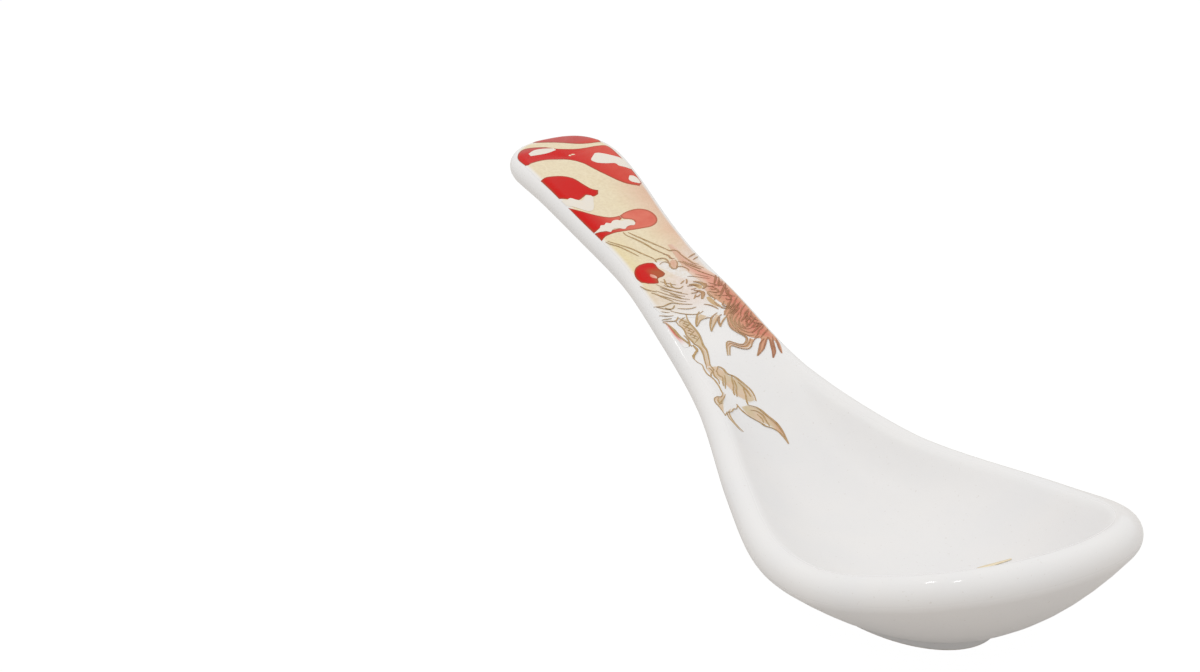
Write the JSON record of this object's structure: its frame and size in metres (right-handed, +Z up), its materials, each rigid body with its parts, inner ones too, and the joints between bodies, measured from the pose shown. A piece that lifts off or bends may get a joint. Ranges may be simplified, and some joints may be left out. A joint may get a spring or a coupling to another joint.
{
  "type": "chinese soup spoon",
  "caption": "Short soup spoon with a wide, lipped bowl, a thick handle that rises to a rounded end, a low oval foot to stand on and a coloured dragon print, for eating soup.",
  "frame": {"origin": "centre of the foot's oval, on the base that the spoon stands on", "axes": "+X along the spoon towards the tip of the bowl, +Y across it, +Z up"},
  "size_m": [0.135, 0.039, 0.0369],
  "materials": {
    "glazed_porcelain": "glossy",
    "cream_print": "glossy",
    "red_print": "glossy",
    "pink_print": "glossy",
    "cloud_print": "glossy",
    "gold_print": "glossy"
  },
  "bodies": {
    "root": {"spoon_body": "glazed_porcelain", "handle_cream_print": "cream_print", "handle_red_print": "red_print", "handle_pink_print": "pink_print", "handle_cloud_print": "cloud_print", "handle_gold_print": "gold_print", "bowl_red_print": "red_print", "bowl_gold_print": "gold_print"}
  },
  "joints": []
}
